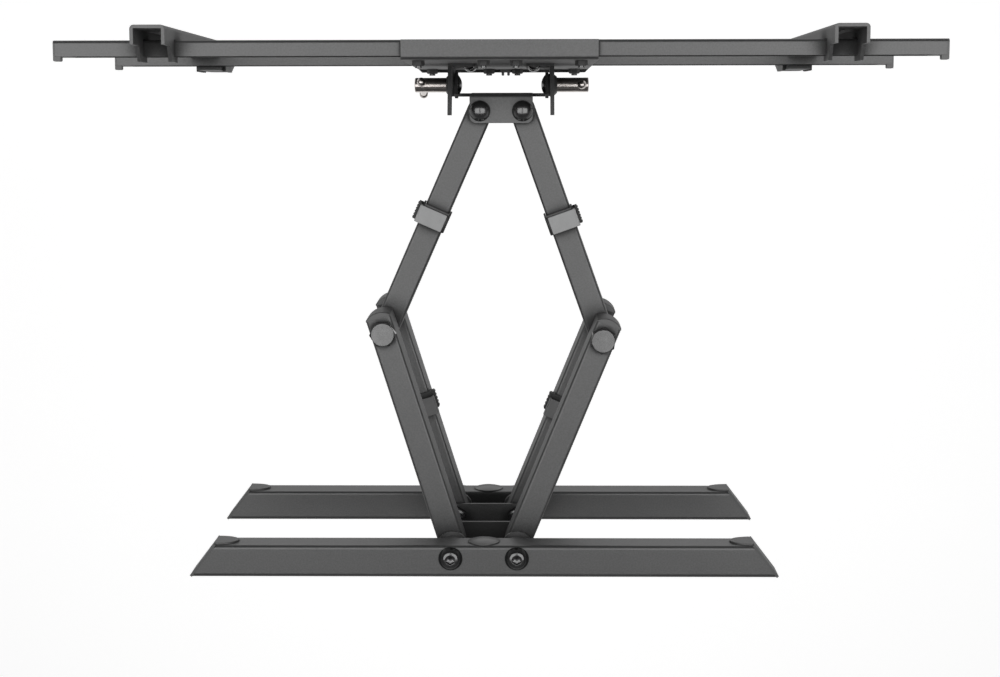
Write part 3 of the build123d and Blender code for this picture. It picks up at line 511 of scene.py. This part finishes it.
def socket_head(seat):
    """Rings of a low dome, from its seat over the rim and down into its hexagon socket."""
    rings = [(seat + HEAD_GAP, disc(DOME_RADIUS * DOME_SEAT))]
    for i in range(DOME_STEPS + 1):
        r = DOME_RADIUS * (1 - i / DOME_STEPS) + DOME_RIM * i / DOME_STEPS
        bulge = 1 - (r / DOME_RADIUS) ** 4
        rings.append((seat + DOME_EDGE + (DOME_RISE - DOME_EDGE) * bulge, disc(r)))
    socket = hexagon_radii(SOCKET_FLATS * MM, BOLT_COLUMNS)
    mouth = [max(r + SOCKET_CHAMFER * MM, SOCKET_MOUTH * MM) for r in socket]
    rings += [(seat + DOME_RISE - SOCKET_CHAMFER, mouth),
              (seat + DOME_RISE - SOCKET_EDGE, socket),
              (seat + SOCKET_FLOOR, [SOCKET_TAPER * r for r in socket])]
    return rings + [(seat + level, disc(radius)) for level, radius in DRILL_POINT]


def hexagon_head(seat):
    """Rings of a hexagon head with rounded-off corners, from its seat up."""
    flats = hexagon_radii(HEXAGON_FLATS * MM, BOLT_COLUMNS)
    round_in = [min(r, HEXAGON_ROUND * MM) for r in flats]
    rings = (round_in, flats, flats, round_in, disc(HEXAGON_FACE))
    return [(seat + level, ring) for level, ring in zip((HEAD_GAP, *HEXAGON_LEVELS), rings)]


def pivot_bolt(name, at, shank, head, steel, shade_dimmed_steel):
    """A bolt along Z: a plain shank and a head whose reflection is dimmed outside its middle, which
    paints shade on it; the middle keeps the steel's full reflection.
    """
    tip, seat = shank
    rings = [(tip, disc(BOLT_POINT)), (tip + BOLT_CHAMFER, disc(BOLT_RADIUS)),
             (seat, disc(BOLT_RADIUS)), *head(seat)]
    rings = [(height * MM, radii) for height, radii in rings]
    obj = turned_piece(name, rings, at, UPRIGHT, "wall_plate", steel)
    obj.modifiers.new("edges", "EDGE_SPLIT").split_angle = HEAD_EDGE
    obj.data.materials.append(shade_dimmed_steel)
    for face in obj.data.polygons:
        in_middle = (face.center - at).to_2d().length < FULL_REFLECTION_RADIUS * MM
        reflective_middle = in_middle and face.center.z > (seat + FULL_REFLECTION_ABOVE) * MM
        face.material_index = 0 if reflective_middle else 1
    return obj


def add_pivot_bolts(steel, shade_dimmed_steel):
    """The four bolts of the wall pivots, socket heads above and hexagon heads below."""
    upper, lower = WALL_SHANKS["upper"], WALL_SHANKS["lower"]
    for side, name in SIDES:
        at = Vector((side * WALL_PIVOT_X, WALL_PIVOT_Y, 0)) * MM
        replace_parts(pivot_bolt(f"socket_bolt_{name}", at, upper, socket_head, steel, shade_dimmed_steel),
                    "wall_pivot_bolts")
        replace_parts(pivot_bolt(f"hexagon_bolt_{name}", at, lower, hexagon_head, steel, shade_dimmed_steel),
                    "wall_pivot_bolts")


def shelf_outline():
    """Outline of a shelf from above, in millimetres, from the web round its two front corners."""
    outline = [(SHELF_HALF, WEB_FACE)]
    for side in (1, -1):
        for j in range(CORNER_STEPS + 1):
            turn = pi / 2 * (j if side > 0 else CORNER_STEPS - j) / CORNER_STEPS
            outline.append((side * (SHELF_HALF - SHELF_CORNER + SHELF_CORNER * cos(turn)),
                            -SHELF_DEPTH + SHELF_CORNER - SHELF_CORNER * sin(turn)))
    outline.append((-SHELF_HALF, WEB_FACE))
    return outline


def add_shelf(build, low, high):
    """Adds a shelf between two heights to a bmesh, with its edges broken."""
    outline = shelf_outline()
    front = SHELF_CORNER - SHELF_DEPTH
    rings = []
    for height, inset in ((low, SHELF_INSET), (low + SHELF_INSET, 0),
                          (high - SHELF_INSET, 0), (high, SHELF_INSET)):
        ring = [(x * (1 - inset / SHELF_HALF), y + (inset if y < front else 0), height)
                for x, y in outline]
        rings.append([build.verts.new(Vector(point) * MM) for point in ring])
    for lower, upper in zip(rings, rings[1:]):
        for j in range(len(outline)):
            k = (j + 1) % len(outline)
            build.faces.new((lower[j], lower[k], upper[k], upper[j]))
    build.faces.new(rings[0])
    build.faces.new(rings[-1])


def add_centre_bracket(coat):
    """The bracket between the rails: a web no wider than the arms' roots, and two shelves."""
    build = bmesh.new()
    rounded_block(build, (-BRACKET_HALF * MM, WEB_FACE * MM, -RAIL_UNDERSIDE * MM),
                  (BRACKET_HALF * MM, 0, RAIL_UNDERSIDE * MM), BRACKET_EDGE * MM)
    add_shelf(build, SHELF_TOP - SHELF_PLATE, SHELF_TOP)
    add_shelf(build, -SHELF_TOP, SHELF_PLATE - SHELF_TOP)
    bmesh.ops.recalc_face_normals(build, faces=build.faces)
    mesh = mesh_of(build, "bracket_and_shelves")
    obj = add_object("bracket_and_shelves", mesh, coat, smooth=False)
    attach(obj, "wall_plate")
    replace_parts(obj, "centre_bracket")


def clip_frame(side, name):
    """The place of a front clip: x along its tube towards the head, z up from the tube's top."""
    low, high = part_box(f"elbow_nut_{name}")
    elbow = Vector(((low.x + high.x) / 2, (low.y + high.y) / 2, 0))
    low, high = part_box("head_pivot_nuts")
    pivot = Vector(((low.x + high.x) / 2 + side * HEAD_PIVOT_HALF * MM, (low.y + high.y) / 2, 0))
    along = (pivot - elbow).normalized()
    turn = Matrix((along, Vector((-along.y, along.x, 0)), Vector((0, 0, 1)))).transposed()
    top = Vector((0, 0, FRONT_HALF * MM))
    return Matrix.Translation(elbow + along * CLIP_ALONG * MM + top) @ turn.to_4x4()


def clip_lid(side):
    """Points and faces of a front clip's lid, in its own frame and in millimetres."""
    points = []
    for x, inset in ((CLIP_START, CLIP_ROUND), (CLIP_START + CLIP_ROUND, 0.0),
                     (CLIP_STOP - CLIP_ROUND, 0.0), (CLIP_STOP, CLIP_ROUND)):
        for y, z in LID_SECTION:
            inward = (y < LID_MIDDLE) - (y > LID_MIDDLE)
            down = z > LID_UPPER
            points.append((x, side * (y + inset * inward), z - inset * down))
    return points, grid_faces(4, len(LID_SECTION))


def hinge_rings():
    """Rings of a front clip's hinge bead, with its ends broken."""
    length = CLIP_STOP - CLIP_START
    levels = (0, CLIP_ROUND, length - CLIP_ROUND, length)
    radii = (HINGE_END, HINGE_RADIUS, HINGE_RADIUS, HINGE_END)
    return [(level * MM, disc(radius, HINGE_COLUMNS)) for level, radius in zip(levels, radii)]


def saddle_blocks(side):
    """The blocks of a front clip's saddle, with the ribs of its thumb bar."""
    ribs = [[(x + i * RIB_STEP, y, z) for x, y, z in RIB] for i in range(RIBS)]
    return [[(x, side * y, z) for x, y, z in block] for block in (*SADDLE, *ribs)]


def add_clip_detail(black, mid_grey_and_shade, pale):
    """On each front clip a longer lid, its full-length hinge bead, a tongue and a ribbed saddle;
    the tongue takes a darker copy of the lid's grey, as painted shade.
    """
    for side, name in SIDES:
        turn = clip_frame(side, name)
        points, faces = clip_lid(side)
        points = [turn @ (Vector(point) * MM) for point in points]
        lid = make_piece(f"clip_lid_{name}", points, faces, f"front_clip_cover_{name}",
                         pale, smooth=False)
        lay = turn.to_3x3() @ Matrix.Rotation(radians(90), 3, "Y")
        at = turn @ (Vector((CLIP_START, side * HINGE_Y, HINGE_Z)) * MM)
        bead = turned_piece(f"clip_hinge_bead_{name}", hinge_rings(), at, lay,
                            f"front_clip_cover_{name}", black)
        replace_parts(lid, f"front_clip_cover_{name}")
        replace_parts(bead, f"front_clip_cover_{name}")
        blocks_piece(f"clip_tongue_{name}", [TONGUE], f"front_arm_{name}", mid_grey_and_shade,
                     turn, TONGUE_EDGE)
        saddle = blocks_piece(f"clip_saddle_{name}", saddle_blocks(side), f"front_arm_{name}",
                              black, turn, SADDLE_EDGE)
        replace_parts(saddle, f"front_clip_{name}")


def add_threads(steel):
    """Thread ridges on the bolt ends that stand out of their nuts."""
    for side, name in SIDES:
        for end, (tip, _) in WALL_SHANKS.items():
            at = Vector((side * WALL_PIVOT_X, WALL_PIVOT_Y, tip)) * MM
            thread(f"wall_pivot_thread_{end}_{name}", "wall_plate", steel, at, M10)
        low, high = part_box(f"elbow_nut_{name}")
        at = Vector(((low.x + high.x) / 2, (low.y + high.y) / 2, low.z - THREAD_SHOWN * MM))
        thread(f"elbow_thread_{name}", f"rear_arm_{name}", steel, at, M12)
        low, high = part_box("head_pivot_nuts")
        x = (low.x + high.x) / 2 + side * HEAD_PIVOT_HALF * MM
        at = Vector((x, (low.y + high.y) / 2, low.z - THREAD_SHOWN * MM))
        thread(f"head_pivot_thread_{name}", "head", steel, at, M10)


def add_welds(coat):
    """Beads along the shelves' roots and where the web meets the rails."""
    reach = BRACKET_HALF - BEAD_SHORT
    for sign, end in ENDS:
        seams = ((f"shelf_weld_{end}_outer", SHELF_TOP, SHELF_BEAD),
                 (f"shelf_weld_{end}_inner", SHELF_TOP - SHELF_PLATE, SHELF_BEAD),
                 (f"rail_weld_{end}", RAIL_UNDERSIDE, RAIL_BEAD))
        for name, level, (radius, off) in seams:
            start = Vector((-reach, WEB_FACE - off, sign * level)) * MM
            stop = Vector((reach, WEB_FACE - off, sign * level)) * MM
            weld_bead(name, start, stop, radius * MM, "wall_plate", coat)


def add_knurls(steel):
    """Grip ridges round the locking screws' discs."""
    for side, name in SIDES:
        low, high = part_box(f"lock_screw_{name}")
        x = low.x if side > 0 else high.x - GRIP_WIDTH * MM
        at = Vector((x, (low.y + high.y) / 2, (low.z + high.z) / 2))
        turn = Matrix.Rotation(radians(90), 3, "Y")
        knurl(f"lock_screw_grip_{name}", f"lock_screw_{name}", steel, at, turn)


def set_world():
    """A dim room whose walls are pale towards the floor, the same to every ray."""
    world = bpy.data.worlds.new("room")
    bpy.context.scene.world = world
    nodes = Nodes(world)
    place = nodes.add("ShaderNodeTexCoord").outputs["Generated"]
    up = nodes.add("ShaderNodeSeparateXYZ", {"Vector": place}).outputs["Z"]
    height = nodes.add("ShaderNodeMapRange", {"Value": up, "From Min": -1.0}).outputs["Result"]
    ramp = nodes.add("ShaderNodeValToRGB", {"Fac": height})
    levels = ((0.0, HORIZON_LIGHT), (HORIZON_TOP, HORIZON_LIGHT),
              (ROOM_START, ROOM_LIGHT), (1.0, ROOM_LIGHT))
    stops = ramp.color_ramp.elements
    while len(stops) < len(levels):
        stops.new(0.5)
    for stop, (position, level) in zip(stops, levels):
        stop.position = position
        stop.color = (level, level, level, 1)
    room = nodes.add("ShaderNodeBackground", {"Color": ramp.outputs["Color"]})
    nodes.add("ShaderNodeOutputWorld", {"Surface": room.outputs["Background"]})


def pale_floor():
    """A matt finish that glows to the camera and in reflections, and is clear from below."""
    material = bpy.data.materials.new("pale_floor")
    nodes = Nodes(material)
    colour = (FLOOR_COLOUR, FLOOR_COLOUR, FLOOR_COLOUR, 1)
    paint = nodes.add("ShaderNodeBsdfDiffuse", {"Color": colour}).outputs["BSDF"]
    rays = nodes.add("ShaderNodeLightPath").outputs
    seen = rays["Is Camera Ray"]
    for key in ("Is Glossy Ray", "Is Transmission Ray"):
        either = nodes.add("ShaderNodeMath", {0: seen, 1: rays[key]}, operation="MAXIMUM")
        seen = either.outputs["Value"]
    spot = nodes.add("ShaderNodeNewGeometry").outputs
    reach = nodes.add("ShaderNodeVectorMath", {0: spot["Position"]}, operation="LENGTH")
    fade = nodes.add("ShaderNodeMapRange", {"Value": reach.outputs["Value"],
                                            "From Min": FLOOR_NEAR, "From Max": FLOOR_FAR,
                                            "To Min": FLOOR_GLOW, "To Max": FLOOR_FAR_GLOW})
    level = nodes.add("ShaderNodeMath", {0: seen, 1: fade.outputs["Result"]}, operation="MULTIPLY")
    glow = nodes.add("ShaderNodeEmission", {"Strength": level.outputs["Value"]})
    lit = nodes.add("ShaderNodeAddShader", {0: paint, 1: glow.outputs["Emission"]})
    clear = nodes.add("ShaderNodeBsdfTransparent").outputs["BSDF"]
    surface = nodes.add("ShaderNodeMixShader",
                        {"Fac": spot["Backfacing"], 1: lit.outputs["Shader"], 2: clear})
    nodes.add("ShaderNodeOutputMaterial", {"Surface": surface.outputs["Shader"]})
    return material


def add_floor():
    """A wide pale floor, white to the camera and in reflections, that keeps the soft shadow."""
    build = bmesh.new()
    bmesh.ops.create_circle(build, cap_ends=True, radius=FLOOR_RADIUS, segments=FLOOR_SIDES,
                            matrix=Matrix.Translation((0, 0, FLOOR_HEIGHT)))
    floor = add_object("floor", mesh_of(build, "floor"), pale_floor(), smooth=False)


def look_at(obj, at, aim, up, roll):
    """Stands a camera at a point, aimed at another."""
    back = (at - aim).normalized()
    right = up.cross(back).normalized()
    turn = Matrix((right, back.cross(right), back)).transposed()
    obj.matrix_world = Matrix.Translation(at) @ turn.to_4x4() @ Matrix.Rotation(roll, 4, "Z")


def add_panels():
    """Two wide lamps overhead, facing down, with the camera between them."""
    for side, name in SIDES:
        lamp = bpy.data.lights.new(f"panel_{name}", "AREA")
        lamp.shape = "RECTANGLE"
        lamp.size, lamp.size_y = PANEL_SIZE
        lamp.energy = PANEL_RADIANCE * pi * PANEL_SIZE[0] * PANEL_SIZE[1]
        obj = bpy.data.objects.new(f"panel_{name}", lamp)
        bpy.context.scene.collection.objects.link(obj)
        obj.location = (side * (PANEL_GAP + PANEL_SIZE[0]) / 2, PANEL_Y, PANEL_HEIGHT)
        obj.visible_camera = False


def add_camera():
    """The camera, at the photograph's viewing angle."""
    data = bpy.data.cameras.new("camera")
    data.lens = CAMERA_LENS
    data.sensor_width = SENSOR_WIDTH
    obj = bpy.data.objects.new("camera", data)
    bpy.context.scene.collection.objects.link(obj)
    look_at(obj, CAMERA_AT, CAMERA_AIM, CAMERA_UP, CAMERA_ROLL)
    bpy.context.scene.camera = obj


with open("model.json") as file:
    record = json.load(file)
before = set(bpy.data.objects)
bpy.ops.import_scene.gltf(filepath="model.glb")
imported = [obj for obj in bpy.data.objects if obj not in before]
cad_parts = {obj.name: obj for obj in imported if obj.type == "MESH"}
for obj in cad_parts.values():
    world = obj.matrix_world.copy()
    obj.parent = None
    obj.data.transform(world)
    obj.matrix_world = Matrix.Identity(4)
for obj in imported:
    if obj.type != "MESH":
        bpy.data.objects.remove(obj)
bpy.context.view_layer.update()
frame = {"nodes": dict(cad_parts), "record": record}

add_camera()
coat = powder_coat()
steel = black_steel("black_steel", index=2.1)
# the same blackened steel with a weaker reflection, which paints shade on the outside of the bolt
# heads
shade_dimmed_steel = black_steel("black_steel_dimmed_for_painted_shade", index=1.4)
black = moulded_plastic("black_plastic", dark=0.014, light=0.024, rough=0.40)
charcoal = moulded_plastic("charcoal_plastic", dark=0.034, light=0.046, rough=0.36, index=1.8)
# a mid grey: the grey of the snap clip, and a darker copy of the pale grey plastic that paints
# shade on the clip tongues and the rear clip covers
mid_grey_and_shade = moulded_plastic("mid_grey_plastic_and_painted_shade", dark=0.10, light=0.13, rough=0.42)
pale = moulded_plastic("grey_plastic", dark=0.30, light=0.35, rough=0.42, tint=0.01)
finishes = {
    "powder_coat": coat,
    "black_steel": steel,
    "chrome": bright_chrome(),
    "zinc_steel": zinc_plate(),
    "black_plastic": black,
    "grey_plastic": pale,
}
exceptions = {
    "rail_end_caps": charcoal,
    "access_plugs": charcoal,
    "elbow_caps_right": charcoal,
    "elbow_caps_left": charcoal,
    "rail_end_stops": charcoal,
    "wall_pivot_bushes": charcoal,
    "plate_nuts": black,
    "plate_bolts": steel,
    # rear clip covers in the darker copy of the pale grey plastic: painted shade
    "rear_clip_cover_right": mid_grey_and_shade,
    "rear_clip_cover_left": mid_grey_and_shade,
}
dress_nodes(frame, finishes, exceptions)
add_threads(steel)
add_welds(weld_metal())
add_knurls(steel)
add_pivot_bolts(steel, shade_dimmed_steel)
add_centre_bracket(coat)
add_clip_detail(black, mid_grey_and_shade, pale)
add_snap_clip(mid_grey_and_shade)
set_world()
add_floor()
add_panels()
bpy.context.scene.view_settings.view_transform = "Standard"
